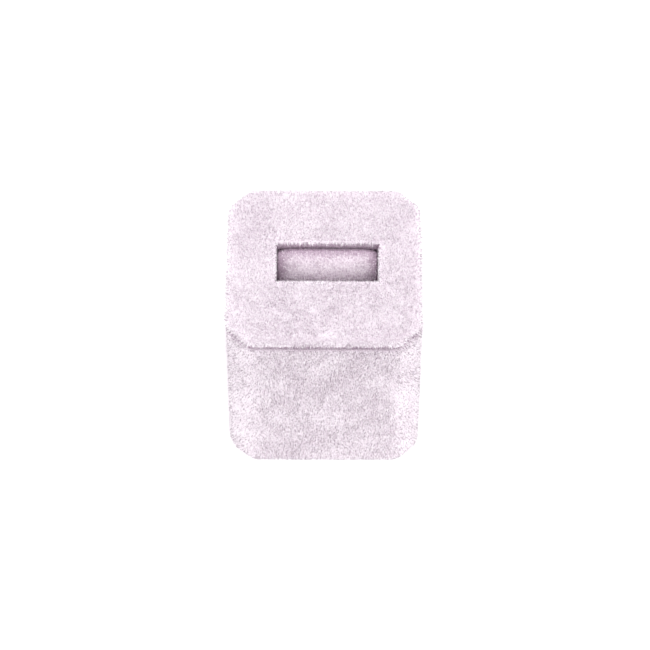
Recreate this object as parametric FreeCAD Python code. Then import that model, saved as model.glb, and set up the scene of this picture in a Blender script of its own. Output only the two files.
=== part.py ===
# Ring display box: an eight-sided velvet box closed by a lift-off platform with a ring window.
# Millimetres. The origin is the middle of the underside, +Z is up, +X is right, and the front faces -Y.
import FreeCAD
import Part
import os
from math import pi, sin, sqrt

# Outside of the box, over the velvet
BOX_WIDTH = 50.0
BOX_DEPTH = 50.0
BOX_HEIGHT = 54.0
CORNER_CUT = 5.75        # length that each cut corner takes off the two sides beside it
CORNER_ROUND = 3.0       # upright edges, in plan
EDGE_ROUND = 1.2         # velvet drawn over the platform's top edge and the foot of the walls
SEAM_ROUND = 0.5         # velvet drawn tight on both sides of the seam under the platform

# Boards and cloths
WALL_BOARD = 2.0
FLOOR_BOARD = 2.0
PLATFORM_BOARD = 2.0
COLLAR_BOARD = 1.5
VELVET = 0.8             # backing cloth and pile together
LINING = 0.5
BASE_SHEET = 0.6
BACKING = 0.5            # sheet glued under the platform

# Edges of the velvet that are turned in and glued down
RIM_TURN_IN = 9.0        # down the inside of the walls
BASE_TURN_IN = 7.0       # in under the floor
PLATFORM_TURN_IN = 6.0   # in under the platform
WINDOW_TURN_IN = 3.0     # out under the platform, round the window
BASE_MARGIN = 2.0        # velvet left showing round the base sheet
WINDOW_MARGIN = 1.5      # velvet left showing round the window, from below

# Ring window, over the velvet
WINDOW_LENGTH = 26.0
WINDOW_WIDTH = 11.6
WINDOW_BACK_SHIFT = 0.65 # the window sits a little behind the middle
WINDOW_RIGHT_SHIFT = 0.8 # and a little to the right of it
WINDOW_ROUND = 0.6       # soft upper edge of the window

# Collar strips that locate the platform inside the rim
COLLAR_DEPTH = 7.0
COLLAR_FIT = 0.4
COLLAR_HEADROOM = 1.0    # from the collar down to the foam block

# Two ring rolls lying side by side in a trough of the foam block. The rear one is held down at its margins by
# the platform and swells up in the window. The front one lies lower, and a ring goes in above it.
ROLL_WIDTH = 6.5         # swelling part, from the slit to the window's back edge
ROLL_MARGIN = 1.4        # flat margin, on from there under the platform
ROLL_OVERLAP = 1.1       # and on past each end of the window
ROLL_SLIT = 0.4          # slit that grips the ring
ROLL_SLIT_DROP = 0.5     # from the margin's level down to the straight side along the slit
ROLL_FIT = 0.3           # from a roll to the trough, and from the swelling part to the window's edges
REAR_HEADROOM = 0.3      # from the rear roll's margin up to the platform
REAR_SWELL = 3.2         # rise of its crown above the margin
FRONT_HEADROOM = 2.5
FRONT_SWELL = 0.8
SLEEVE = 0.7
SLEEVE_EASE = 0.1        # looseness of the sleeve on its core
TROUGH_DEPTH = 8.0
BLOCK_FIT = 0.3

SIDES = ("front_wall", "front_right_corner", "right_wall", "back_right_corner",
         "back_wall", "back_left_corner", "left_wall", "front_left_corner")
ROLL_STRIPS = 10         # flat-drawn strips along the swelling part, closer together towards its ends
ROLL_FULLNESS = 12       # the higher, the further the crown keeps its height towards the ends
# Crown from the margin to the slit, as shares of its width and rise: steep at first, and falling off slowly
CROWN = ((0, 0), (0.03, 0.55), (0.12, 0.85), (0.4, 1), (0.7, 0.92), (0.88, 0.62), (1, 0))
ROUND_OF_HEIGHT = 0.4    # an edge's round takes at most this share of the platform's height
ROUND_OF_CORNER = 0.9    # and this share of the round that it turns at the corners
TOUCH = 0.01             # two things closer than this are taken as one

# Levels, from the table up
wrap_bottom = BASE_SHEET
floor_bottom = wrap_bottom + VELVET
floor_top = floor_bottom + FLOOR_BOARD
block_bottom = floor_top + LINING
platform_height = VELVET + PLATFORM_BOARD + VELVET
rim = BOX_HEIGHT - platform_height
wall_top = rim - VELVET
lining_top = rim - RIM_TURN_IN
board_bottom = rim + VELVET
board_top = BOX_HEIGHT - VELVET
backing_bottom = rim - BACKING
collar_bottom = backing_bottom - COLLAR_DEPTH
shelf = collar_bottom - COLLAR_HEADROOM
trough_floor = shelf - TROUGH_DEPTH

# Distances in from the outside of the box
wall_outside = VELVET
wall_inside = wall_outside + WALL_BOARD
turned_inside = wall_inside + VELVET
lining_inside = wall_inside + LINING
collar_outside = turned_inside + COLLAR_FIT
collar_inside = collar_outside + COLLAR_BOARD
block_outside = max(turned_inside, lining_inside) + BLOCK_FIT

swell_reach = WINDOW_LENGTH / 2 - ROLL_FIT
roll_reach = WINDOW_LENGTH / 2 + ROLL_OVERLAP
roll_depth = ROLL_SLIT / 2 + ROLL_WIDTH + ROLL_MARGIN
window_back = WINDOW_BACK_SHIFT + WINDOW_WIDTH / 2
slit_middle = window_back - ROLL_FIT - ROLL_WIDTH - ROLL_SLIT / 2
largest_round = min(ROUND_OF_HEIGHT * platform_height, ROUND_OF_CORNER * CORNER_ROUND)
edge_round = min(EDGE_ROUND, largest_round)
seam_round = min(SEAM_ROUND, largest_round)
window_round = min(WINDOW_ROUND, largest_round)


def eight_corners(inset):
    """Corners of the box's plan, drawn in evenly by inset, from the front's left end anticlockwise."""
    x = BOX_WIDTH / 2 - inset
    y = BOX_DEPTH / 2 - inset
    cut = CORNER_CUT - inset * (2 - sqrt(2))
    return [(cut - x, -y), (x - cut, -y), (x, cut - y), (x, y - cut),
            (x - cut, y), (cut - x, y), (-x, y - cut), (-x, cut - y)]


def prism(corners, low, high):
    """A straight solid on a plan of corners, between two levels."""
    points = [FreeCAD.Vector(x, y, low) for x, y in corners]
    outline = Part.makePolygon(points + points[:1])
    return Part.Face(outline).extrude(FreeCAD.Vector(0, 0, high - low))


def eight_sided(inset, low, high):
    return prism(eight_corners(inset), low, high)


def window_block(margin, low, high):
    """The window's plan, grown by margin on every side."""
    left = WINDOW_RIGHT_SHIFT - WINDOW_LENGTH / 2 - margin
    right = WINDOW_RIGHT_SHIFT + WINDOW_LENGTH / 2 + margin
    front = WINDOW_BACK_SHIFT - WINDOW_WIDTH / 2 - margin
    back = WINDOW_BACK_SHIFT + WINDOW_WIDTH / 2 + margin
    return prism([(left, front), (right, front), (right, back), (left, back)], low, high)


def side_panel(side, outside, inside, low, high):
    """One of the eight sides as a board, mitred at both ends."""
    outer = eight_corners(outside)
    inner = eight_corners(inside)
    after = (side + 1) % len(outer)
    return prism([outer[side], outer[after], inner[after], inner[side]], low, high)


def level_edges(shape, level):
    """Edges that lie flat at one level."""
    return [edge for edge in shape.Edges
            if abs(edge.BoundBox.ZMin - level) < TOUCH and abs(edge.BoundBox.ZMax - level) < TOUCH]


def soft_block(low, high, low_round, high_round):
    """The outside of the box between two levels, with velvet-soft edges all round."""
    block = eight_sided(0, low, high)
    block = block.makeFillet(CORNER_ROUND, [edge for edge in block.Edges if edge.BoundBox.ZLength > TOUCH])
    block = block.makeFillet(low_round, level_edges(block, low))
    return block.makeFillet(high_round, level_edges(block, high))


def body_velvet():
    """Velvet outside the walls, over the rim and down inside, and in under the floor."""
    skin = soft_block(wrap_bottom, rim, edge_round, seam_round)
    skin = skin.cut(eight_sided(wall_outside, floor_bottom, wall_top))
    skin = skin.cut(eight_sided(turned_inside, wall_top, rim))
    skin = skin.cut(eight_sided(wall_outside + BASE_TURN_IN, wrap_bottom, floor_bottom))
    turned = eight_sided(wall_inside, lining_top, wall_top)
    turned = turned.cut(eight_sided(turned_inside, lining_top, wall_top))
    return skin.fuse(turned).removeSplitter()


def base_sheet():
    """Felt under the box, sunk into the space inside the turned-in velvet."""
    sheet = eight_sided(edge_round + BASE_MARGIN, 0, BASE_SHEET)
    sunk = eight_sided(wall_outside + BASE_TURN_IN, BASE_SHEET, floor_bottom)
    return sheet.fuse(sunk).removeSplitter()


def wall_lining():
    lining = eight_sided(wall_inside, block_bottom, lining_top)
    return lining.cut(eight_sided(lining_inside, block_bottom, lining_top))


def foam_block():
    """Foam support, with a trough cut in its top for the two rolls."""
    left = WINDOW_RIGHT_SHIFT - roll_reach - ROLL_FIT
    right = WINDOW_RIGHT_SHIFT + roll_reach + ROLL_FIT
    front = slit_middle - roll_depth - ROLL_FIT
    back = slit_middle + roll_depth + ROLL_FIT
    trough = prism([(left, front), (right, front), (right, back), (left, back)], trough_floor, shelf)
    return eight_sided(block_outside, block_bottom, shelf).cut(trough)


def roll_section(x, way, level, swell, inset):
    """Section of a roll across X: flat margin away from the slit, and a crown from there down to the slit."""
    slit_side = slit_middle + way * (ROLL_SLIT / 2 + inset)
    crown_side = slit_middle + way * (ROLL_SLIT / 2 + ROLL_WIDTH - inset)
    far_side = slit_middle + way * (roll_depth - inset)
    foot = trough_floor + inset
    top = level - inset
    outline = [(slit_side, top - ROLL_SLIT_DROP), (slit_side, foot), (far_side, foot),
               (far_side, top), (crown_side, top)]
    corners = [FreeCAD.Vector(x, y, z) for y, z in outline]
    sides = [Part.makeLine(start, end) for start, end in zip(corners, corners[1:])]
    over = corners[0] - corners[-1]
    rise = FreeCAD.Vector(0, 0, swell)
    crown = Part.BSplineCurve()
    crown.interpolate([corners[-1] + over * along + rise * up for along, up in CROWN])
    return Part.Wire(sides + [crown.toShape()])


def roll(way, level, swell, inset):
    """A roll before the slit (way -1) or behind it (way 1), or its inside when drawn in by inset."""
    shares = [sin(pi * (strip / ROLL_STRIPS - 0.5)) for strip in range(ROLL_STRIPS + 1)]
    stations = [(share * (swell_reach - inset), swell * (1 - share ** ROLL_FULLNESS)) for share in shares]
    stations = [(inset - roll_reach, 0)] + stations + [(roll_reach - inset, 0)]
    sections = [roll_section(WINDOW_RIGHT_SHIFT + x, way, level, rise, inset) for x, rise in stations]
    return Part.makeLoft(sections, True, True)


def platform_board():
    board = eight_sided(wall_outside, board_bottom, board_top)
    return board.cut(window_block(VELVET, board_bottom, board_top))


def platform_backing():
    """Sheet under the platform, sunk into the space between the turned-in edges."""
    sunk = eight_sided(wall_outside + PLATFORM_TURN_IN, rim, board_bottom)
    sunk = sunk.cut(window_block(VELVET + WINDOW_TURN_IN, rim, board_bottom))
    sheet = eight_sided(collar_outside, backing_bottom, rim)
    sheet = sheet.cut(window_block(WINDOW_MARGIN, backing_bottom, rim))
    return sheet.fuse(sunk).removeSplitter()


def platform_velvet():
    """Velvet over the platform, turned in under its outer edge and through the window."""
    skin = soft_block(rim, BOX_HEIGHT, seam_round, edge_round).cut(window_block(0, rim, BOX_HEIGHT))
    mouth = window_block(TOUCH, rim, BOX_HEIGHT)
    skin = skin.makeFillet(window_round, [edge for edge in level_edges(skin, BOX_HEIGHT)
                                          if mouth.isInside(edge.CenterOfMass, TOUCH, True)])
    return skin.cut(platform_board()).cut(platform_backing())


pieces = {"base_sheet": base_sheet(),
          "bottom_board": eight_sided(wall_outside, floor_bottom, floor_top),
          "body_velvet": body_velvet(),
          "wall_lining": wall_lining(),
          "floor_lining": eight_sided(wall_inside, floor_top, block_bottom),
          "foam_block": foam_block(),
          "platform_board": platform_board(),
          "platform_velvet": platform_velvet(),
          "platform_backing": platform_backing()}
for number, name in enumerate(SIDES):
    pieces[name + "_board"] = side_panel(number, wall_outside, wall_inside, floor_top, wall_top)
    if name.endswith("wall"):
        strip = side_panel(number, collar_outside, collar_inside, collar_bottom, backing_bottom)
        pieces[name.replace("wall", "collar_strip")] = strip
for name, way, level, swell in (("front", -1, rim - FRONT_HEADROOM, FRONT_SWELL),
                                ("rear", 1, rim - REAR_HEADROOM, REAR_SWELL)):
    pieces[name + "_roll_core"] = roll(way, level, swell, SLEEVE + SLEEVE_EASE)
    pieces[name + "_roll_sleeve"] = roll(way, level, swell, 0).cut(roll(way, level, swell, SLEEVE))

os.makedirs("parts", exist_ok=True)
for name, shape in pieces.items():
    shape.exportStep("parts/" + name + ".step")
    print(name, len(shape.Solids), "solid", shape.isValid(), round(shape.Volume, 1), "mm3")
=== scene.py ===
# %% [markdown]
# # A velvet ring box
#
# The object is a small box for one ring. Stiff greyboard gives it its shape, and pale lilac velvet is
# glued over the board. Its top is a plate with a window, and below the window two soft rolls hold the
# ring between them. The stiff pieces come with the frame. This lesson makes the soft ones, the finishes,
# the light and the camera.

# %% Load the frame
import functools
import math
import random

import bmesh
import bpy
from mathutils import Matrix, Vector, noise
from mathutils.bvhtree import BVHTree


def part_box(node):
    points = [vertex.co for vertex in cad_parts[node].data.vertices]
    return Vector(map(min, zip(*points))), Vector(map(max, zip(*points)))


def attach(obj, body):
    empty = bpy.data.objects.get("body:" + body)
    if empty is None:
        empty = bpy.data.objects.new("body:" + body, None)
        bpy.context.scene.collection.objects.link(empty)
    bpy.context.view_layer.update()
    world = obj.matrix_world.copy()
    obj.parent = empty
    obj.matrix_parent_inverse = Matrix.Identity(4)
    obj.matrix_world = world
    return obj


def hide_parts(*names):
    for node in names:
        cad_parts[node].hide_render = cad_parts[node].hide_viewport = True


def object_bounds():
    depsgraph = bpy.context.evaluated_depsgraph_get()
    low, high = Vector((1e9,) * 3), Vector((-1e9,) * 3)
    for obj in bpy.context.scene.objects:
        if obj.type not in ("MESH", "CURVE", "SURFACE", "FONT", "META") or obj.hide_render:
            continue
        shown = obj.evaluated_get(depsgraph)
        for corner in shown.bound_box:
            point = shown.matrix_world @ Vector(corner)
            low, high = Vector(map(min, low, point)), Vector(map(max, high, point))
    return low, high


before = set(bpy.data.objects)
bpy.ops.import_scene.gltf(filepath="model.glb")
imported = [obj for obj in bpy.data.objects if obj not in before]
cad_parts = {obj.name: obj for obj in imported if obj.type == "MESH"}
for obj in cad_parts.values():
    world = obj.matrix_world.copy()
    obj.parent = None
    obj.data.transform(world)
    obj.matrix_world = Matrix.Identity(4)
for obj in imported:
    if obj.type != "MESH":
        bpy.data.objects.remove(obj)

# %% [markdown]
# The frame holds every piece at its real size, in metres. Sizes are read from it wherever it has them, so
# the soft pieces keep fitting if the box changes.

MM = 0.001
cad_low, cad_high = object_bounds()
wrap_low, wrap_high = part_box("body_velvet")
plate_low, plate_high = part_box("platform_velvet")
wall_low, wall_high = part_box("right_wall_board")

MITRE = 2 - math.sqrt(2)
HALF = wrap_high.x
CLOTH = HALF - wall_high.x
WALL_INSIDE = HALF - wall_low.x
CORNER_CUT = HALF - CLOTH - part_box("front_wall_board")[1].x + CLOTH * MITRE
print("box", [round(side / MM, 1) for side in cad_high - cad_low], "corner cut", round(CORNER_CUT / MM, 2))

# %% [markdown]
# ## Camera
#
# The box is seen from the front and from well above, through a long lens that hardly narrows its far
# side. The camera looks at the middle of the box, so only its direction, its distance and its lens are
# set.

# %% Camera
ELEVATION = math.radians(53)
AZIMUTH = math.radians(0.27)
DISTANCE = 0.85
LENS = 179
NEAREST = 0.05
AIM = Vector((0.2 * MM, 0, 0.65 * MM))

middle = (cad_low + cad_high) / 2
level = Vector((math.sin(AZIMUTH), -math.cos(AZIMUTH), 0))
towards = level * math.cos(ELEVATION) + Vector((0, 0, math.sin(ELEVATION)))
camera = bpy.data.objects.new("camera", bpy.data.cameras.new("camera"))
camera.data.lens = LENS
camera.data.clip_start = NEAREST
camera.location = middle + AIM + towards * DISTANCE
camera.rotation_euler = (-towards).to_track_quat("-Z", "Y").to_euler()
bpy.context.scene.collection.objects.link(camera)
bpy.context.scene.camera = camera
print("camera at", [round(value, 3) for value in camera.location])

# %% [markdown]
# ## Outlines
#
# Every layer of the box has the same plan, a square with cut corners, a little larger or smaller. The
# plan is walked in columns, side by side, so a point keeps its column from one layer to the next.

# %% The corners of the plan
def eight_corners(inset):
    """The plan's corners, drawn in by inset, from the right end of the front."""
    half = HALF - inset
    flat = half - CORNER_CUT + inset * MITRE
    quarter = [(flat, -half), (half, -flat), (half, flat), (flat, half)]
    return [Vector(p) for p in quarter] + [Vector((-x, -y)) for x, y in quarter]


print("first corner", eight_corners(0)[0] / MM)

# %% The plan with rounded corners
LONG_COLUMNS = 78
CUT_COLUMNS = 18
COLUMNS = 4 * (LONG_COLUMNS + CUT_COLUMNS)
BODY_ROUND = 5.0 * MM
PLATE_ROUND = 3.0 * MM
LEAST_ROUND = 0.3 * MM
HALF_TURN = math.radians(22.5)


@functools.lru_cache(None)
def plan_ring(inset, rounding):
    """One point of the plan, with rounded corners, for each column."""
    corners = eight_corners(inset)
    radius = max(rounding - inset, LEAST_ROUND)
    reach = radius * math.tan(HALF_TURN)
    ring = []
    for side in range(8):
        start, end = corners[side], corners[(side + 1) % 8]
        columns = LONG_COLUMNS if side % 2 else CUT_COLUMNS
        along = (end - start).normalized()
        inward = Vector((-along.y, along.x))
        for step in range(columns):
            point = start.lerp(end, step / columns)
            for corner, way in ((start, along), (end, -along)):
                away = (point - corner).length
                if away < reach:
                    angle = HALF_TURN * (1 - away / reach)
                    sunk = radius * (1 - math.cos(angle))
                    point = corner + way * (reach - radius * math.sin(angle)) + inward * sunk
                    break
            ring.append(point)
    return ring


trial = plan_ring(0, BODY_ROUND)
side_column = CUT_COLUMNS + LONG_COLUMNS // 2
gap = (trial[side_column + 1] - trial[side_column]).length
print("columns", COLUMNS, "apart", round(gap / MM, 2), "mm")

# %% [markdown]
# ## Velvet
#
# The real velvet is a thin woven cloth with a short pile. It is wrapped round the boards, turned in over
# the rim and glued under the bottom. Here it starts as a flat grid, and each row of the grid is laid on
# one ring of the box, from the turned-in edge below, up the wall and over the rim. The grid then goes
# back behind the face, so the cloth gets its real thickness and is closed.
#
# A box with a bevel would be quicker, but it leaves large flat faces. The even grid can carry the small
# dents of the nap.
#
# A profile is a list of rows, and each row is marked with the pile that stands on it. BARE rows are glued
# down and have none, OPEN rows have the pile that is seen all round, and the shaded rows, in the shadow of
# a seam or of the window, get a dark painted shade. LIP rows, on the rim and at the window, and FRINGE
# rows, with the long ends above the seam, stay smooth below their pile. Two marks are set later by place:
# BACK for open pile on the back half, and BACK_LIP for the lip behind the window.

# %% Rows of a profile
ROW = 0.5 * MM
ONE_ROW = 1.0
BARE, OPEN, BACK, PAINTED_SHADE, LIP, FRINGE, BACK_LIP = range(7)


class Profile:
    """Rows of (inset, height) points, each with the mark of its pile."""

    def __init__(self, start):
        self.rows, self.piled = [Vector(start)], [BARE]

    def straight(self, end, spacing=ROW, pile=OPEN):
        start, end = self.rows[-1], Vector(end)
        count = max(1, round((end - start).length / spacing))
        self.rows += [start.lerp(end, step / count) for step in range(1, count + 1)]
        self.piled += [pile] * count

    def glued(self, *ends):
        """Bare rows behind the face, one for each end."""
        for end in ends:
            self.straight(end, ONE_ROW, pile=BARE)

    def rounded(self, corner, end, count=4, pile=OPEN):
        """A quarter round from the last row to end."""
        start, corner, end = self.rows[-1], Vector(corner), Vector(end)
        centre = start + end - corner
        for step in range(1, count + 1):
            turn = math.radians(90 * step / count)
            self.rows.append(centre + (start - centre) * math.cos(turn) + (end - centre) * math.sin(turn))
        self.piled += [pile] * count


trial = Profile((0, 0))
trial.rounded((1, 0), (1, 1))
print("a quarter round has", len(trial.rows) - 1, "rows")

# %% [markdown]
# The nap is the way the pile lies. It never lies quite even, so the cloth below it gets shallow dents
# from a noise with three sizes. A bump in the material would be lighter, but it would not show at the
# outline.

# %% Nap
NAP_DEPTH = 0.08 * MM
NAP_SIZES = (
    (0.8, 1.2 * MM, Vector((0, 0, 0))),
    (0.6, 2.6 * MM, Vector((7, 3, 1))),
    (0.6, 9 * MM, Vector((2, 9, 4))))


def nap(point):
    """How far the nap stands up at a point, from shares of noises of some size, each started elsewhere."""
    return NAP_DEPTH * sum(share * noise.noise(point / size + start) for share, size, start in NAP_SIZES)


print("nap at the middle", round(nap(middle) / MM, 3), "mm")


# %% Meshes and objects
def finish_mesh(shape, name):
    """Turns a bmesh into an object at the origin."""
    bmesh.ops.recalc_face_normals(shape, faces=shape.faces)
    for face in shape.faces:
        face.smooth = True
    mesh = bpy.data.meshes.new(name)
    shape.to_mesh(mesh)
    shape.free()
    piece = bpy.data.objects.new(name, mesh)
    bpy.context.scene.collection.objects.link(piece)
    print(name, len(mesh.polygons), "faces")
    return piece


def settle(piece):
    """Applies a piece's modifiers."""
    done = bpy.data.meshes.new_from_object(piece.evaluated_get(bpy.context.evaluated_depsgraph_get()))
    piece.modifiers.clear()
    piece.data = done


# %% [markdown]
# The cloth's grid is joined to itself at both ends, so it closes round the box and behind its own face.
# Its flat form is kept as a UV map, before the points move to their rings.

# %% Cloth from a grid
SAME_PLACE = 0.001 * MM
GRID_HALF = 0.5


def wrapped_cloth(name, rings, piled):
    """A grid laid on closed rings of points, with the marks in the face layer "pile"."""
    rows = len(rings)
    cloth = bmesh.new()
    bmesh.ops.create_grid(cloth, x_segments=COLUMNS, y_segments=rows, size=GRID_HALF)
    bake = cloth.loops.layers.uv.new("OFBake")
    pile = cloth.faces.layers.int.new("pile")
    place = {}
    for point in cloth.verts:
        column = round((point.co.x + GRID_HALF) * COLUMNS)
        place[point] = column, round((point.co.y + GRID_HALF) * rows) % rows
    for face in cloth.faces:
        face[pile] = min(piled[place[point][1]] for point in face.verts)
        for corner in face.loops:
            corner[bake].uv = corner.vert.co.xy + Vector((GRID_HALF, GRID_HALF))
    for point, (column, row) in place.items():
        point.co = rings[row][column % COLUMNS]
    bmesh.ops.remove_doubles(cloth, verts=cloth.verts, dist=SAME_PLACE)
    bmesh.ops.recalc_face_normals(cloth, faces=cloth.faces)
    for point in cloth.verts:
        if all(BARE < face[pile] < LIP for face in point.link_faces):
            point.co += point.normal * nap(point.co)
    for face in cloth.faces:
        # Faces with the shade mark take the second material, a dark painted shade.
        face.material_index = face[pile] == PAINTED_SHADE
        if face[pile] == OPEN and face.calc_center_median().y > 0:
            face[pile] = BACK
    return finish_mesh(cloth, name)


# %% [markdown]
# ### Body wrap
#
# Each ring of the body is the plan drawn in by some inset, at some height. The cloth's face lies a little
# below the frame's surface, because the pile stands on it. A narrow gap is left below the platform: it is
# the dark seam that runs round the box, and its cloth and pile are painted dark too, a painted shade.

# %% Body wrap
PILE_SINK = 0.3 * MM
EDGE_ROUND = 1.2 * MM
SEAM_ROUND = 0.5 * MM
SEAM_GAP = 0.35 * MM
BASE_TURN = 7 * MM
BASE_TURN_ROW = 2 * MM
lining_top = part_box("wall_lining")[1].z
floor_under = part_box("bottom_board")[0].z
foot = wrap_low.z
rim = wrap_high.z - PILE_SINK - SEAM_GAP
inside = WALL_INSIDE + CLOTH - PILE_SINK / 2

wall = Profile((BASE_TURN + CLOTH, foot))
wall.straight((EDGE_ROUND + PILE_SINK, foot), BASE_TURN_ROW, pile=BARE)
wall.rounded((PILE_SINK, foot), (PILE_SINK, foot + EDGE_ROUND))
wall.straight((PILE_SINK, rim - SEAM_ROUND - ROW))
wall.straight((PILE_SINK, rim - SEAM_ROUND), pile=PAINTED_SHADE)
wall.rounded((PILE_SINK, rim), (PILE_SINK + SEAM_ROUND, rim), pile=PAINTED_SHADE)
wall.straight((inside - SEAM_ROUND, rim), pile=LIP)
wall.rounded((inside, rim), (inside, rim - SEAM_ROUND), pile=LIP)
wall.straight((inside, lining_top))
wall.glued((WALL_INSIDE, lining_top), (WALL_INSIDE, wall_high.z), (CLOTH, wall_high.z))
wall.glued((CLOTH, floor_under), (BASE_TURN + CLOTH, floor_under))
wall_rings = [[Vector((*p, height)) for p in plan_ring(inset, BODY_ROUND)] for inset, height in wall.rows]
body_wrap = wrapped_cloth("body_wrap", wall_rings, wall.piled)

# %% [markdown]
# ### Platform wrap
#
# On the platform the rings change from the window to the plan: a ring lies some share of the way from the
# window's edge to the outer edge. The cloth starts under the window's edge, comes up through the window,
# crosses the top and goes down the outside and under.

# %% The window's outline
WINDOW_SEARCH = 18 * MM
board_points = [v.co.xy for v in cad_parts["platform_board"].data.vertices]
near_middle = [point for point in board_points if point.length < WINDOW_SEARCH]
window_low = Vector((min(p.x for p in near_middle) + CLOTH, min(p.y for p in near_middle) + CLOTH))
window_high = Vector((max(p.x for p in near_middle) - CLOTH, max(p.y for p in near_middle) - CLOTH))
window_middle = (window_low + window_high) / 2
window_half = (window_high - window_low) / 2


@functools.lru_cache(None)
def window_ring(grow):
    """The window's outline, made larger by grow, one point for each column."""
    ring = []
    for point in plan_ring(0, PLATE_ROUND):
        ray = point - window_middle
        unit = Vector((ray.x / window_half.x, ray.y / window_half.y))
        unit /= max(abs(unit.x), abs(unit.y))
        offset = Vector((unit.x * (window_half.x + grow), unit.y * (window_half.y + grow)))
        ring.append(window_middle + offset)
    return ring


def plate_ring(share, grow, inset, height):
    """A ring some share of the way from the window to the outer edge."""
    pairs = zip(window_ring(grow), plan_ring(inset, PLATE_ROUND))
    return [Vector((*inner.lerp(outer, share), height)) for inner, outer in pairs]


print("window", [round(side / MM, 2) for side in 2 * window_half], "middle", window_middle / MM)

# %% Profiles of the platform
WINDOW_ROUND = 0.6 * MM
WINDOW_TURN = 3 * MM
PLATFORM_TURN = 6 * MM
PLATE_TURN_ROW = 1.5 * MM
BROW_ROWS = 5
board_low, board_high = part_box("platform_board")
under = plate_low.z + PILE_SINK
top = plate_high.z - PILE_SINK
lip = PILE_SINK + WINDOW_ROUND
brow = PILE_SINK + EDGE_ROUND

hole = Profile((CLOTH + WINDOW_TURN, under))
hole.straight((PILE_SINK + SEAM_ROUND, under), PLATE_TURN_ROW, pile=BARE)
hole.rounded((PILE_SINK, under), (PILE_SINK, under + SEAM_ROUND), pile=PAINTED_SHADE)
hole.straight((PILE_SINK, top - WINDOW_ROUND), pile=PAINTED_SHADE)
hole.rounded((PILE_SINK, top), (lip, top), pile=LIP)
edge = Profile((brow, top))
edge.piled[0] = OPEN
edge.rounded((PILE_SINK, top), (PILE_SINK, top - EDGE_ROUND), BROW_ROWS)
edge.straight((PILE_SINK, under + SEAM_ROUND), pile=FRINGE)
edge.rounded((PILE_SINK, under), (PILE_SINK + SEAM_ROUND, under), pile=PAINTED_SHADE)
edge.straight((CLOTH + PLATFORM_TURN, under), PLATE_TURN_ROW, pile=BARE)
edge.glued((CLOTH + PLATFORM_TURN, board_low.z), (CLOTH, board_low.z), (CLOTH, board_high.z))
back = Profile((CLOTH, board_high.z))
back.glued((CLOTH, board_low.z), (CLOTH + WINDOW_TURN, board_low.z))
print("rows in the window, at the edge and behind", len(hole.rows), len(edge.rows), len(back.rows))

# %% Platform wrap
TOP_ROWS = 36
plate_rings = [plate_ring(0, grow, 0, height) for grow, height in hole.rows]
plate_rings += [plate_ring(row / TOP_ROWS, lip, brow, top) for row in range(1, TOP_ROWS)]
plate_rings += [plate_ring(1, 0, inset, height) for inset, height in edge.rows]
plate_rings += [plate_ring(0, grow, 0, height) for grow, height in back.rows]
plate_piled = hole.piled + [OPEN] * (TOP_ROWS - 1) + edge.piled + back.piled
platform_wrap = wrapped_cloth("platform_wrap", plate_rings, plate_piled)

# %% [markdown]
# Light falls into the window from above and behind. Its front and side walls stay pale, and only the
# back wall keeps a dark painted shade. The marks of those walls change by their place. The lip behind the
# window gets a mark of its own, because ragged ends hang from it.

# %% Pale walls in the window
WALL_REACH = 1 * MM
BACK_WALL_REACH = 0.4 * MM
marks = platform_wrap.data.attributes["pile"].data
for face in platform_wrap.data.polygons:
    beside = abs(face.center.x - window_middle.x) < window_half.x + WALL_REACH
    before = window_low.y - WALL_REACH < face.center.y < window_high.y - BACK_WALL_REACH
    if marks[face.index].value == PAINTED_SHADE and beside and before:
        marks[face.index].value = LIP
        face.material_index = 0
    elif marks[face.index].value == LIP and face.center.y > window_high.y:
        marks[face.index].value = BACK_LIP
print("faces on the back lip", sum(mark.value == BACK_LIP for mark in marks))

# %% [markdown]
# ## Networks of nodes
#
# Blender describes both materials and procedural geometry as networks of nodes. The class below lets a
# network be written as arithmetic: a wire is a value on its way through the network.

# %% Node arithmetic
class Wire:
    """A value in a network. Arithmetic on it adds Math nodes, and node() adds any other node."""

    def __init__(self, tree, socket=None):
        self.tree, self.socket = tree, socket

    def node(self, kind, settings=None, inputs=(), out=0, **sockets):
        made = self.tree.nodes.new(kind)
        for setting, value in (settings or {}).items():
            setattr(made, setting, value)
        for number, value in enumerate(inputs):
            self.feed(made.inputs[number], value)
        for socket, value in sockets.items():
            self.feed(made.inputs[socket.replace("_", " ")], value)
        return Wire(self.tree, made.outputs[out] if made.outputs else None)

    def feed(self, target, value):
        if isinstance(value, Wire):
            self.tree.links.new(value.socket, target)
        else:
            target.default_value = value

    def other(self, output):
        """Another output of the same node."""
        return Wire(self.tree, self.socket.node.outputs[output])

    def math(self, operation, *values):
        return self.node("ShaderNodeMath", {"operation": operation}, values)

    def vector(self, operation, *values):
        return self.node("ShaderNodeVectorMath", {"operation": operation}, values)

    def __add__(self, other):
        return self.math("ADD", self, other)

    def __sub__(self, other):
        return self.math("SUBTRACT", self, other)

    def __mul__(self, other):
        return self.math("MULTIPLY", self, other)

    def __truediv__(self, other):
        return self.math("DIVIDE", self, other)

    def __rsub__(self, other):
        return self.math("SUBTRACT", other, self)

    def __rtruediv__(self, other):
        return self.math("DIVIDE", other, self)

    __radd__ = __add__
    __rmul__ = __mul__


# %% [markdown]
# ## Pile
#
# The pile is what makes velvet: thousands of short ends that stand out of the cloth and lean together in
# small groups. Points are strewn on the marked faces with an even distance between them, and each gets a
# small pointed tuft that stands on the cloth and leans with a noise. Where the ends hang down over an
# edge, the tuft's direction is pulled down by droop. Hair particles would be drawn finer, but they are
# not a mesh and can't be passed on with the part.

# %% Network that plants tufts
LEAN = 2.2
CLUMP = 0.9 * MM
MARK_MARGIN = 0.1
DRAWS = 2.5
LEAST_TURN, MOST_TURN = (-0.25, -0.25, -3), (0.25, 0.25, 3)
LEAST_SIZE, MOST_SIZE = (0.7, 0.7, 0.6), (1.3, 1.3, 1.3)


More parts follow.
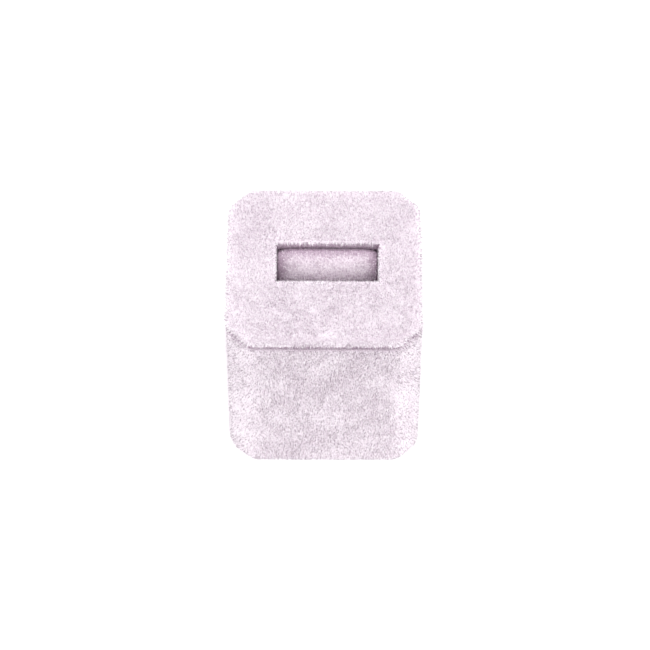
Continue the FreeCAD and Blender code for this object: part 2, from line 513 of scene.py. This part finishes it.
def tuft_network(name, mark, spacing, seed, length, width, droop):
    """A geometry network that plants tufts on the faces with a mark, at least spacing apart."""
    tree = bpy.data.node_groups.new(name, "GeometryNodeTree")
    tree.interface.new_socket("cloth", in_out="INPUT", socket_type="NodeSocketGeometry")
    tree.interface.new_socket("pile", in_out="OUTPUT", socket_type="NodeSocketGeometry")
    wire = Wire(tree)
    whole = wire.node("NodeGroupInput")
    marked = wire.node("GeometryNodeInputNamedAttribute", {"data_type": "INT"}, Name="pile")
    points = wire.node("GeometryNodeDistributePointsOnFaces", {"distribute_method": "POISSON"}, Mesh=whole,
                       Selection=wire.math("COMPARE", marked, mark, MARK_MARGIN), Distance_Min=spacing,
                       Density_Max=DRAWS / spacing ** 2, Seed=seed)
    drift = wire.node("ShaderNodeTexNoise", out="Color", Vector=wire.node("GeometryNodeInputPosition"),
                      Scale=1 / CLUMP, Detail=1.0)
    lean = wire.vector("MULTIPLY", wire.vector("SUBTRACT", drift, (0.5, 0.5, 0.5)), (LEAN, LEAN, 0))
    chance = {"data_type": "FLOAT_VECTOR"}
    lean = wire.vector("ADD", lean, wire.node("FunctionNodeRandomValue", chance, (LEAST_TURN, MOST_TURN)))
    upright = points.other("Rotation")
    if droop:
        hanging = wire.vector("ADD", points.other("Normal"), (0, 0, -droop))
        upright = wire.node("FunctionNodeAlignRotationToVector", {"axis": "Z"}, Vector=hanging)
    turn = wire.node("FunctionNodeRotateRotation", {"rotation_space": "LOCAL"},
                     (upright, wire.node("FunctionNodeEulerToRotation", None, (lean,))))
    size = wire.node("FunctionNodeRandomValue", chance, (LEAST_SIZE, MOST_SIZE), Seed=1)
    tuft = wire.node("GeometryNodeMeshCone", Vertices=3, Radius_Top=0.0, Radius_Bottom=width / 2,
                     Depth=length)
    planted = wire.node("GeometryNodeInstanceOnPoints", Points=points, Instance=tuft, Rotation=turn,
                        Scale=size)
    wire.node("NodeGroupOutput", None, (wire.node("GeometryNodeRealizeInstances", Geometry=planted),))
    return tree


# %% [markdown]
# A tuft is a cone with three sides and a base. All its faces share one small cell of the pile's UV map,
# and a shade drawn by chance, so that one tuft is paler than the next.

# %% Pile of tufts
TUFT_WIDTH = 0.20 * MM
TUFT_LENGTH = 0.38 * MM
TUFT_FACES = 4
TUFT_CELL = ((0.1, 0.1), (0.9, 0.1), (0.5, 0.9))


def pile_on(cloth, name, mark, spacing, seed, length=TUFT_LENGTH, width=TUFT_WIDTH, droop=0.0):
    """Tufts on the faces of a cloth that have a mark, at least spacing apart."""
    piece = bpy.data.objects.new(name, cloth.data.copy())
    bpy.context.scene.collection.objects.link(piece)
    tree = tuft_network(name, mark, spacing, seed, length, width, droop)
    piece.modifiers.new("pile", "NODES").node_group = tree
    settle(piece)
    for point in piece.data.vertices:
        point.co.z = max(point.co.z, cad_low.z)
    piece.data.shade_flat()
    tufts = len(piece.data.polygons) // TUFT_FACES
    across = math.ceil(math.sqrt(tufts))
    cells = []
    for tuft in range(tufts):
        for x, y in TUFT_CELL * TUFT_FACES:
            cells += [(tuft % across + x) / across, (tuft // across + y) / across]
    piece.data.uv_layers.new(name="OFBake").data.foreach_set("uv", cells)
    dice = random.Random(seed)
    shades = [shade for shade in (dice.random() for tuft in range(tufts)) for face in range(TUFT_FACES)]
    piece.data.attributes.new("shade", "FLOAT", "FACE").data.foreach_set("value", shades)
    print(name, tufts, "tufts", len(piece.data.polygons), "faces")
    return piece


# %% [markdown]
# The open pile covers all that is seen, and each cloth's pile is a front and a back piece. Shorter pile
# stands on the rim and in the seam. A fringe of long, thick ends closes the platform's edge above the
# seam, and another hangs from the lip behind the window.

# %% Pile on the wraps
BODY_SPACING = 0.25 * MM
PLATE_SPACING = 0.22 * MM
SHADE_SPACING = 0.24 * MM
fringe = {"spacing": 0.32 * MM, "length": 0.85 * MM, "width": 0.3 * MM}
ragged = {"spacing": 0.26 * MM, "length": 0.95 * MM, "width": 0.28 * MM, "droop": 1.2}

front_pile = pile_on(body_wrap, "front_pile", OPEN, BODY_SPACING, seed=3)
back_pile = pile_on(body_wrap, "back_pile", BACK, BODY_SPACING, seed=4)
platform_front_pile = pile_on(platform_wrap, "platform_front_pile", OPEN, PLATE_SPACING, seed=5)
platform_back_pile = pile_on(platform_wrap, "platform_back_pile", BACK, PLATE_SPACING, seed=6)
window_pile = pile_on(platform_wrap, "window_pile", PAINTED_SHADE, SHADE_SPACING, seed=7, length=0.4 * MM)
seam_pile = pile_on(body_wrap, "seam_pile", PAINTED_SHADE, SHADE_SPACING, seed=8, length=0.3 * MM)
lip_pile = pile_on(platform_wrap, "lip_pile", LIP, PLATE_SPACING, seed=9)
fringe_pile = pile_on(platform_wrap, "fringe_pile", FRINGE, seed=13, **fringe)
lip_fringe = pile_on(platform_wrap, "lip_fringe", BACK_LIP, seed=14, **ragged)
rim_pile = pile_on(body_wrap, "rim_pile", LIP, SHADE_SPACING, seed=10, length=0.25 * MM)

# %% [markdown]
# Some thin ends stand out further than the rest. They make the soft outline against the white, and their
# nearly white finish is a painted sheen.

# %% Stray ends
stray = {"spacing": 0.4 * MM, "length": 1.5 * MM, "width": 0.09 * MM}

front_strays = pile_on(body_wrap, "front_strays", OPEN, seed=21, **stray)
back_strays = pile_on(body_wrap, "back_strays", BACK, seed=22, **stray)
platform_front_strays = pile_on(platform_wrap, "platform_front_strays", OPEN, seed=23, **stray)
platform_back_strays = pile_on(platform_wrap, "platform_back_strays", BACK, seed=24, **stray)

# %% [markdown]
# ## Ring rolls
#
# A ring roll is a bar of foam in a velvet sleeve. The foam fills the sleeve, so the top rounds up and the
# ends sink. The same is done here: the sleeve's outside is taken from the frame, drawn in a little and
# blown up as cloth with pressure inside, while its lower part is held in the foam.

# %% Sleeve as it comes in the frame
def outer_shell(node):
    """The outside of a hollow piece of the frame."""
    shell = bmesh.new()
    shell.from_mesh(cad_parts[node].data)
    bmesh.ops.remove_doubles(shell, verts=shell.verts, dist=SAME_PLACE)
    found, waiting = set(), [max(shell.verts, key=lambda point: point.co.z)]
    while waiting:
        point = waiting.pop()
        if point not in found:
            found.add(point)
            waiting += [edge.other_vert(point) for edge in point.link_edges]
    bmesh.ops.delete(shell, geom=[point for point in shell.verts if point not in found], context="VERTS")
    bmesh.ops.recalc_face_normals(shell, faces=shell.faces)
    return shell


# %% Even and smooth meshes
def even_mesh(shape, name, voxel):
    """Turns a bmesh into an object with even square faces."""
    piece = finish_mesh(shape, name)
    remesh = piece.modifiers.new("even", "REMESH")
    remesh.mode = "VOXEL"
    remesh.voxel_size = voxel
    settle(piece)
    return piece


def opened_again(piece):
    """The mesh of an object as a bmesh, without the object."""
    shape = bmesh.new()
    shape.from_mesh(piece.data)
    bpy.data.objects.remove(piece)
    return shape


def smoothed(shape, turns=1):
    for turn in range(turns):
        bmesh.ops.smooth_vert(shape, verts=shape.verts, factor=0.5,
                              use_axis_x=True, use_axis_y=True, use_axis_z=True)


# %% [markdown]
# Cloth this small behaves badly in a simulation, so the roll is made large for it and brought back to
# size afterwards. A limit keeps any point from swelling too far.

# %% Sleeve blown up
LARGE = 20
DRAWN_IN = 0.3 * MM
SLEEVE_FACE = 0.5 * MM
MOST_SWELL = 0.5 * MM
LEAST_LENGTH = 1e-6
PRESSURE = 4
CLOTH_QUALITY = 6
LAST_FRAME = 20
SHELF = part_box("foam_block")[1].z


def blown_up(sleeve, name):
    """The sleeve, drawn in and filled by a cloth simulation with pressure."""
    for point in sleeve.verts:
        point.co -= point.normal * DRAWN_IN
    bmesh.ops.scale(sleeve, vec=[LARGE] * 3, verts=sleeve.verts)
    roll = even_mesh(sleeve, name, SLEEVE_FACE * LARGE)
    before = [v.co.copy() for v in roll.data.vertices]
    held = roll.vertex_groups.new(name="held")
    held.add([number for number, point in enumerate(before) if point.z < SHELF * LARGE], 1, "REPLACE")
    stuffing = roll.modifiers.new("stuffing", "CLOTH")
    stuffing.settings.quality = CLOTH_QUALITY
    stuffing.settings.use_pressure = True
    stuffing.settings.uniform_pressure_force = PRESSURE
    stuffing.settings.vertex_group_mass = "held"
    stuffing.settings.effector_weights.gravity = 0
    stuffing.point_cache.frame_start = 1
    stuffing.point_cache.frame_end = LAST_FRAME
    for number in range(1, LAST_FRAME + 1):
        bpy.context.scene.frame_set(number)
    settle(roll)
    bpy.context.scene.frame_set(1)
    for v, start in zip(roll.data.vertices, before):
        swell = v.co - start
        v.co = start + swell * min(1, MOST_SWELL * LARGE / max(swell.length, LEAST_LENGTH))
    shape = opened_again(roll)
    bmesh.ops.scale(shape, vec=[1 / LARGE] * 3, verts=shape.verts)
    smoothed(shape, 2)
    bmesh.ops.subdivide_edges(shape, edges=shape.edges, cuts=1, use_grid_fill=True)
    smoothed(shape, 2)
    return shape


# %% [markdown]
# The blown-up sleeve is then held out at least to the frame's form, less the depth of the pile. The rear
# roll swells up in the window and fills it to its ends, so there its top follows the height of its middle
# and drops only close to the ends.

# %% Roll held out to its form
BACK_ROUND = 0.75 * MM
END_DROP = 0.9 * MM
END_POWER = 8


def held_out(shape, form, in_window):
    """Moves points out to the form, and up in the window where the roll reaches it."""
    for point in shape.verts:
        spot, outwards, face, away = form.find_nearest(point.co)
        point.co += outwards * max(0, outwards.dot(spot - point.co) - PILE_SINK)
        aside = abs(point.co.x - window_middle.x) / window_half.x
        if in_window and aside < 1 and point.co.y < window_high.y and point.normal.z > 0:
            above = Vector((window_middle.x, min(point.co.y, window_high.y - BACK_ROUND), plate_high.z))
            middle_form = form.ray_cast(above, Vector((0, 0, -1)))[0]
            if middle_form:
                point.co.z = max(point.co.z, middle_form.z - PILE_SINK - END_DROP * aside ** END_POWER)
    smoothed(shape)


# %% [markdown]
# Last, the roll is stretched to the frame's length and width, and its crown to the frame's height less
# the pile, so that it sits where the frame has it. The nap dents it as it does the wraps.

# %% Rolls
PILE_BELOW_SHELF = 1 * MM
roll_tufts = {"spacing": 0.34 * MM, "length": 0.55 * MM, "width": 0.3 * MM}


def stretched(shape, low, high):
    """Stretches a roll to the box from low to high, and dents it with the nap."""
    crown = max(point.co.z for point in shape.verts)
    centre = (low + high) / 2
    reach = Vector([max(abs(point.co[axis] - centre[axis]) for point in shape.verts) for axis in (0, 1)])
    full = Vector(((high.x - low.x) / 2, (high.y - low.y) / 2))
    print("crown rose to", round(crown / MM, 2), "half length and width", reach / MM, "made", full / MM)
    for point in shape.verts:
        place = point.co.copy()
        point.co += point.normal * nap(place)
        if place.z > SHELF:
            point.co.z += (place.z - SHELF) / (crown - SHELF) * (high.z - PILE_SINK - crown)
        for axis in (0, 1):
            share = place[axis] / reach[axis] - centre[axis] / reach[axis]
            point.co[axis] += share * (full[axis] - reach[axis])


def stuffed_roll(name, node, seed):
    """A velvet roll in the place of a roll of the frame, and its pile."""
    low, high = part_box(node)
    sleeve = outer_shell(node)
    form = BVHTree.FromBMesh(sleeve)
    shape = blown_up(sleeve, name)
    held_out(shape, form, high.z > plate_low.z)
    shape.normal_update()
    pile = shape.faces.layers.int.new("pile")
    for face in shape.faces:
        face[pile] = OPEN if face.calc_center_median().z > SHELF - PILE_BELOW_SHELF else BARE
    stretched(shape, low, high)
    roll = finish_mesh(shape, name)
    return roll, pile_on(roll, name + "_pile", OPEN, seed=seed, **roll_tufts)


front_roll, front_roll_pile = stuffed_roll("front_roll", "front_roll_sleeve", 11)
rear_roll, rear_roll_pile = stuffed_roll("rear_roll", "rear_roll_sleeve", 12)

# %% [markdown]
# ## Foam block
#
# The rolls lie in a trough of a foam block that fills the box. Cut foam has soft edges and small open
# cells. The block of the frame is remeshed with small even faces, its edges are smoothed and its faces
# pitted.

# %% Foam block
FOAM_FACE = 0.6 * MM
FOAM_CELL = 0.7 * MM
# How far the faces sink and how deep the pits are, in millimetres.
FOAM_SINK = 0.10
FOAM_PIT = 0.12

foam_shape = opened_again(even_mesh(outer_shell("foam_block"), "foam", FOAM_FACE))
smoothed(foam_shape)
foam_shape.normal_update()
for point in foam_shape.verts:
    point.co -= point.normal * (FOAM_SINK + FOAM_PIT * noise.noise(point.co / FOAM_CELL)) * MM
foam = finish_mesh(foam_shape, "foam")

# %% [markdown]
# ## Felt sheets
#
# A felt sheet under the box hides the turned-in edges of the velvet, and another under the platform does
# the same round the window. Each is cut from a flat grid, given its thickness and roughened a little. The
# noise that roughens it starts from the clock unless it is given a seed, so it gets one, and every run
# makes the same felt.

# %% Felt cut to shape
FELT_SEGMENTS = 80
FELT_FIBRE = 0.9 * MM
FELT_ROUGH = 0.05 * MM
FELT_SEED = 15
noise.seed_set(FELT_SEED)


def cut_along(sheet, place, way, outer=False):
    """Cuts a sheet along a line, and with outer takes away what lies beyond it."""
    whole = sheet.verts[:] + sheet.edges[:] + sheet.faces[:]
    bmesh.ops.bisect_plane(sheet, geom=whole, clear_outer=outer, plane_co=place, plane_no=way)


def cut_hole(sheet, low, high):
    for corner in (low, high):
        for way in ((1, 0, 0), (0, 1, 0)):
            cut_along(sheet, (*corner, 0), way)
    spots = [(face, face.calc_center_median()) for face in sheet.faces]
    inner = [face for face, spot in spots if low.x < spot.x < high.x and low.y < spot.y < high.y]
    bmesh.ops.delete(sheet, geom=inner, context="FACES")


def felt_sheet(name, inset, low, thickness, hole=None):
    """An eight-sided sheet, drawn in by inset, with a hole of (low corner, high corner) if there is one."""
    half = HALF - inset
    cut = CORNER_CUT - inset * MITRE
    sheet = bmesh.new()
    bmesh.ops.create_grid(sheet, x_segments=FELT_SEGMENTS, y_segments=FELT_SEGMENTS, size=half)
    for x, y in ((1, 1), (1, -1), (-1, 1), (-1, -1)):
        cut_along(sheet, (x * half, y * (half - cut), 0), (x, y, 0), outer=True)
    if hole:
        cut_hole(sheet, *hole)
    upper = bmesh.ops.extrude_face_region(sheet, geom=sheet.faces[:])["geom"]
    lifted = [part for part in upper if isinstance(part, bmesh.types.BMVert)]
    bmesh.ops.translate(sheet, vec=(0, 0, thickness), verts=lifted)
    bmesh.ops.translate(sheet, vec=(0, 0, low), verts=sheet.verts)
    for point in sheet.verts:
        rough = noise.noise_vector(point.co / FELT_FIBRE) * FELT_ROUGH
        point.co += Vector((rough.x, rough.y, abs(rough.z)))
    return finish_mesh(sheet, name)


# %% Felt sheets
BACKING_MARGIN = Vector((1.5, 1.5)) * MM
FELT_CLEARANCE = 0.06 * MM
base_low, base_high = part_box("base_sheet")
backing_low, backing_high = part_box("platform_backing")
base_thickness = wrap_low.z - base_low.z - FELT_CLEARANCE
backing_thickness = plate_low.z - backing_low.z + PILE_SINK
backing_hole = (window_low - BACKING_MARGIN, window_high + BACKING_MARGIN)
base_felt = felt_sheet("base_felt", HALF - base_high.x, base_low.z, base_thickness)
backing_felt = felt_sheet("backing_felt", HALF - backing_high.x, backing_low.z, backing_thickness,
                          backing_hole)

# %% [markdown]
# ## Materials
#
# Each finish mixes two tones of the real material at the size of its grain, and raises a bump from the
# same grain. Pictures would also do, but a grain worked out from the place has no seams and stays sharp.

# %% A new surface
def new_surface(name, **constants):
    """A material, a wire in its network and its shader."""
    material = bpy.data.materials.new(name)
    material.use_nodes = True
    shader = material.node_tree.nodes["Principled BSDF"]
    for socket, value in constants.items():
        shader.inputs[socket.replace("_", " ")].default_value = value
    return material, Wire(material.node_tree), shader


# %% [markdown]
# Velvet is paler at the tips of its pile than at the ground, and it shines softly where it is seen from
# the side. The tips get a pale tone with small pale and dark specks and soft brushed patches, the ground
# a deeper tone, and the shader's sheen gives the soft shine.
#
# Round the cut corners the pile is painted paler, a painted light. On the rolls the pile is painted dark
# at the back and the ends of the window, a painted shade below its edges, and it is painted paler towards
# the front, a painted light. Both are told by the place on the box.

# %% Painted light and shade by place
CORNER_SOFT = 1.5 * MM
SHADE_REACH = 3.4 * MM
SHADE_OUTSIDE_RATE = 3
FRONT_FADE = 7.5 * MM
PALEST = 0.5


def corner_painted_light(wire, across):
    """Painted light on the cut corners: 0 on the flat sides, and up to 1 on the cut corners."""
    outwards = wire.math("ABSOLUTE", across) + wire.math("ABSOLUTE", across.other("Y"))
    corner = (outwards - (2 * HALF - CORNER_CUT)) / CORNER_SOFT + 1
    return wire.math("MINIMUM", wire.math("MAXIMUM", corner, 0), 1)


def roll_painted_shade_tone(wire, across):
    """Painted shade and light on a roll's pile: how much darker or paler it is for its place in the window.
    """
    aside = window_half.x - wire.math("ABSOLUTE", across - window_middle.x)
    behind = window_high.y - across.other("Y")
    within = wire.math("MINIMUM", aside, behind)
    flat = wire.math("MINIMUM", wire.math("MAXIMUM", within, -SHADE_OUTSIDE_RATE * within) / SHADE_REACH - 1, 0)
    return flat + wire.math("MINIMUM", (behind - window_half.y) / FRONT_FADE, PALEST)


# %% Velvet
SPECK_SCALE, SPECK_SHARE = 2000, 1.5
PATCH_SCALE, PATCH_SHARE = 200, 0.6
BRUSH_SCALE = 75
MATT = {"Roughness": 0.95, "Specular_IOR_Level": 0.1, "Sheen_Roughness": 0.5, "Sheen_Tint": (1, 1, 1, 1)}


def velvet_finish(name, light, dark, level=0.5, spread=0.0, sheen=0.5, brush=0.4, painted_corner_light=0.0, roll_painted_shade=False):
    """Velvet between two tones. Tufts differ by spread round level, and brush is how patchy it is.
    The last two arguments add painted light on the cut corners and the rolls' painted shade and light."""
    material, wire, shader = new_surface(name, Sheen_Weight=sheen, **MATT)
    place = wire.node("ShaderNodeTexCoord", out="Object")
    specks = wire.node("ShaderNodeTexNoise", Vector=place, Scale=SPECK_SCALE, Detail=2, Roughness=0.6)
    patches = wire.node("ShaderNodeTexNoise", Vector=place, Scale=PATCH_SCALE, Detail=2, Roughness=0.5)
    brushed = wire.node("ShaderNodeTexNoise", Vector=place, Scale=BRUSH_SCALE, Detail=1)
    tone = (specks - 0.5) * SPECK_SHARE + (patches - 0.5) * PATCH_SHARE + (brushed - 0.5) * brush + level
    if spread:
        shade = wire.node("ShaderNodeAttribute", {"attribute_name": "shade"}, out="Fac")
        tone = tone + (shade - 0.5) * spread
    if painted_corner_light:
        tone = tone + corner_painted_light(wire, wire.node("ShaderNodeSeparateXYZ", None, (place,))) * painted_corner_light
    if roll_painted_shade:
        tone = tone + roll_painted_shade_tone(wire, wire.node("ShaderNodeSeparateXYZ", None, (place,)))
    wire.feed(shader.inputs["Base Color"], wire.node("ShaderNodeMixRGB", Fac=tone, Color1=dark, Color2=light))
    wire.feed(shader.inputs["Roughness"], 1 - 0.1 * patches)
    bump = wire.node("ShaderNodeBump", Strength=0.5, Distance=0.2 * MM, Height=specks)
    wire.feed(shader.inputs["Normal"], bump)
    return material


# %% Velvet finishes
WHITE = (1.0, 0.985, 1.0, 1)
pile_finish = velvet_finish("velvet_pile", WHITE, (0.38, 0.30, 0.365, 1), level=0.54, spread=1.9)
# The body's finish paints light onto the cut corners.
body_finish = velvet_finish("velvet_body", (1.0, 0.97, 0.995, 1), (0.15, 0.08, 0.13, 1),
                            level=0.29, spread=2.2, sheen=0.8, brush=1.3, painted_corner_light=0.32)
# Both roll finishes carry the rolls' painted shade and painted light.
roll_finish = velvet_finish("velvet_roll", (1.0, 0.94, 0.985, 1), (0.50, 0.39, 0.48, 1),
                            level=0.78, spread=2.2, sheen=0.2, roll_painted_shade=True)
roll_ground = velvet_finish("velvet_roll_ground", (0.96, 0.88, 0.94, 1), (0.50, 0.38, 0.475, 1),
                            level=0.75, sheen=0.1, roll_painted_shade=True)
ground_finish = velvet_finish("velvet_ground", (0.90, 0.825, 0.885, 1), (0.66, 0.55, 0.64, 1))
# A dark painted shade for the window's back wall and the platform's side of the seam.
painted_shade_finish = velvet_finish("velvet_deep", (0.56, 0.40, 0.52, 1), (0.36, 0.23, 0.34, 1), sheen=0.1)
# A darker painted shade for the body's side of the seam.
seam_painted_shade = velvet_finish("velvet_seam", (0.25, 0.15, 0.23, 1), (0.11, 0.06, 0.10, 1), sheen=0.05)
# The strays' nearly white finish is a painted sheen.
stray_painted_sheen = velvet_finish("velvet_strays_painted_sheen", WHITE, (0.92, 0.87, 0.91, 1))
print("velvet finishes", sum(material.name.startswith("velvet_") for material in bpy.data.materials))

# %% [markdown]
# Greyboard is pressed from waste paper, with pale and dark flecks. Lining paper is smooth with a faint
# tooth. Foam is full of open cells, and felt is matted from fine fibres that lie every way. Each grain is
# a function that mixes a fine and a coarse pattern, with scales in grains per metre.

# %% Grains
def board_grain(wire, place):
    flecks = wire.node("ShaderNodeTexNoise", Vector=place, Scale=2200, Detail=3, Roughness=0.7)
    clouds = wire.node("ShaderNodeTexNoise", Vector=place, Scale=260, Detail=3)
    return flecks * 1.3 + clouds * 0.5 - 0.4


def paper_grain(wire, place):
    tooth = wire.node("ShaderNodeTexNoise", Vector=place, Scale=3200, Detail=2)
    fibres = wire.node("ShaderNodeTexNoise", Vector=place, Scale=420, Detail=4, Distortion=2.0)
    return tooth * 0.7 + fibres * 0.6 - 0.15


def foam_grain(wire, place):
    cells = wire.node("ShaderNodeTexVoronoi", Vector=place, Scale=1700)
    pits = wire.node("ShaderNodeTexVoronoi", Vector=place, Scale=700)
    return cells * 1.0 + pits * 0.5


def felt_grain(wire, place):
    fibres = wire.node("ShaderNodeTexNoise", Vector=place, Scale=900, Detail=5, Roughness=0.7, Distortion=3.0)
    clouds = wire.node("ShaderNodeTexNoise", Vector=place, Scale=180, Detail=2)
    return fibres * 1.3 + clouds * 0.5 - 0.4


# %% Boards, paper, foam and felt
def grained(name, dark, light, grain, bump, **constants):
    """A finish of two tones mixed by grain, a function of a wire and a place, with a bump of some height."""
    material, wire, shader = new_surface(name, **constants)
    height = grain(wire, wire.node("ShaderNodeTexCoord", out="Object"))
    tone = wire.node("ShaderNodeMixRGB", Fac=height, Color1=dark, Color2=light)
    wire.feed(shader.inputs["Base Color"], tone)
    raised = wire.node("ShaderNodeBump", Strength=0.6, Distance=bump, Height=height)
    wire.feed(shader.inputs["Normal"], raised)
    return material


finishes = {
    "velvet": ground_finish,
    "greyboard": grained("greyboard_finish", (0.33, 0.30, 0.27, 1), (0.62, 0.58, 0.53, 1),
                         board_grain, 0.08 * MM, Roughness=0.9),
    "lining_paper": grained("paper_finish", (0.55, 0.47, 0.54, 1), (0.70, 0.62, 0.69, 1),
                            paper_grain, 0.03 * MM, Roughness=0.75),
    "foam": grained("foam_finish", (0.62, 0.60, 0.57, 1), (0.90, 0.89, 0.87, 1),
                    foam_grain, 0.3 * MM, Roughness=0.95),
    "felt": grained("felt_finish", (0.52, 0.41, 0.50, 1), (0.80, 0.69, 0.78, 1),
                    felt_grain, 0.1 * MM, Roughness=0.95, Sheen_Weight=0.3)}
print("finishes", list(finishes))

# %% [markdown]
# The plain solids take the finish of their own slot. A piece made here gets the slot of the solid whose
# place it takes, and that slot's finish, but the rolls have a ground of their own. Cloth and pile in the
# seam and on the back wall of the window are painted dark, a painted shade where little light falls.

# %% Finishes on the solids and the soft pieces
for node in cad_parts.values():
    node.data.materials[0] = finishes[node.data.materials[0].name.split(".")[0]]
dressed = {
    "velvet": [body_wrap, platform_wrap, front_roll, rear_roll],
    "foam": [foam],
    "felt": [base_felt, backing_felt]}
for slot, pieces in dressed.items():
    for piece in pieces:
        piece.data.materials.clear()
        piece.data.materials.append(finishes[slot])
for roll in (front_roll, rear_roll):
    roll.data.materials[0] = roll_ground
body_wrap.data.materials.append(seam_painted_shade)
platform_wrap.data.materials.append(painted_shade_finish)
print("dressed", sum(len(pieces) for pieces in dressed.values()), "soft pieces")

# %% Finishes on the pile
body_piles = [front_pile, back_pile, seam_pile, rim_pile, front_strays, back_strays]
platform_piles = [platform_front_pile, platform_back_pile, window_pile, lip_pile, lip_fringe, fringe_pile]
platform_piles += [platform_front_strays, platform_back_strays]
pile_finishes = {
    # The window and seam pile take the dark painted shade finishes.
    "strays": stray_painted_sheen, "window": painted_shade_finish, "seam": seam_painted_shade, "roll": roll_finish,
    "platform": pile_finish, "lip": pile_finish, "fringe": pile_finish, "pile": body_finish}
for piece in body_piles + platform_piles + [front_roll_pile, rear_roll_pile]:
    finish = next(finish for word, finish in pile_finishes.items() if word in piece.name)
    piece.data.materials.clear()
    piece.data.materials.append(finish)
print("materials", sorted(material.name for material in bpy.data.materials if material.users))

# %% [markdown]
# ## Putting it together
#
# Each piece rides on the body that it moves with, and takes the place of the plain solid of the frame.

# %% Rides and places
platform_pieces = [platform_wrap, backing_felt] + platform_piles
body_pieces = [body_wrap, front_roll, front_roll_pile, rear_roll, rear_roll_pile, foam, base_felt]
body_pieces += body_piles
for piece in platform_pieces:
    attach(piece, "ring_platform")
for piece in body_pieces:
    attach(piece, "box_body")
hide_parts("body_velvet")
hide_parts("platform_velvet")
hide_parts("front_roll_sleeve", "front_roll_core")
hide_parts("rear_roll_sleeve", "rear_roll_core")
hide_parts("foam_block")
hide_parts("base_sheet")
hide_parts("platform_backing")
print("pieces on the platform and on the box", len(platform_pieces), len(body_pieces))

# %% [markdown]


# %% [markdown]
# ## Floor
#
# The box stands on a white table. To all rays but the camera's it glows, a painted bounce light that lights
# the walls from below, most strongly close to the box.
# To the camera the table is almost white and keeps a faint shadow. The two looks are told apart by the
# kind of ray that meets the table.

# %% Floor
FLOOR_HALF = 3
FLOOR_DROP = 0.02 * MM
table = bmesh.new()
bmesh.ops.create_grid(table, x_segments=1, y_segments=1, size=FLOOR_HALF)
bmesh.ops.translate(table, vec=(0, 0, cad_low.z - FLOOR_DROP), verts=table.verts)
table = finish_mesh(table, "floor")

# %% White table
TABLE_LIGHT = 1.38
NEAR_LIGHT, FAR_LIGHT = 1.15, 0.8
LIGHT_FALL, FALL_REACH = 0.35, 0.12
SEEN_GREY = (0.3, 0.3, 0.3, 1)
SEEN_GLOW = 0.80
white = bpy.data.materials.new("white_table")
white.use_nodes = True
white.node_tree.nodes.clear()
wire = Wire(white.node_tree)
shaded = wire.node("ShaderNodeBsdfDiffuse", Color=SEEN_GREY)
seen = wire.node("ShaderNodeAddShader", None, (shaded, wire.node("ShaderNodeEmission", Strength=SEEN_GLOW)))
place = wire.node("ShaderNodeTexCoord", out="Object")
away = wire.vector("LENGTH", place).other("Value")
# The table's glow to other rays is a painted bounce light, brightest close to the box.
near = wire.math("MAXIMUM", NEAR_LIGHT - away / FALL_REACH * LIGHT_FALL, FAR_LIGHT)
glow = wire.node("ShaderNodeCombineColor", None, (near, near, near))
painted_bounce_glow = wire.node("ShaderNodeEmission", Color=glow, Strength=TABLE_LIGHT)
camera_ray = wire.node("ShaderNodeLightPath", out="Is Camera Ray")
surface = wire.node("ShaderNodeMixShader", None, (camera_ray, painted_bounce_glow, seen))
wire.node("ShaderNodeOutputMaterial", None, (surface,))
table.data.materials.append(white)
print("table nodes", len(white.node_tree.nodes))

# %% [markdown]
# ## Light
#
# The room is bright and white. The strongest lamp stands above and behind the box: it lights the top,
# makes the front lip of the window bright and leaves a shadow below the back lip. A lamp on either side,
# a little to the front, lights the walls and the cut corners.

# %% Light
ROOM_LIGHT = 0.95
LAMP_SIZE = 0.4
LAMPS = {
    "behind": ((0.0, 0.53, 0.51), 3.3),
    "right": ((0.54, -0.23, 0.15), 2.1),
    "left": ((-0.54, -0.23, 0.15), 1.6)}
world = bpy.data.worlds.new("room")
bpy.context.scene.world = world
world.use_nodes = True
world.node_tree.nodes["Background"].inputs["Color"].default_value = (1, 1, 1, 1)
world.node_tree.nodes["Background"].inputs["Strength"].default_value = ROOM_LIGHT


def soft_light(name, place, power):
    """A round soft lamp that points at the middle of the box."""
    lamp = bpy.data.lights.new(name, "AREA")
    lamp.shape = "DISK"
    lamp.size = LAMP_SIZE
    lamp.energy = power
    light = bpy.data.objects.new(name, lamp)
    light.location = place
    light.rotation_euler = (Vector(place) - middle).to_track_quat("Z", "Y").to_euler()
    bpy.context.scene.collection.objects.link(light)


for name, (place, power) in LAMPS.items():
    soft_light(name, place, power)
bpy.context.scene.view_settings.view_transform = "Standard"
print("lamps", [light.name for light in bpy.data.lights])
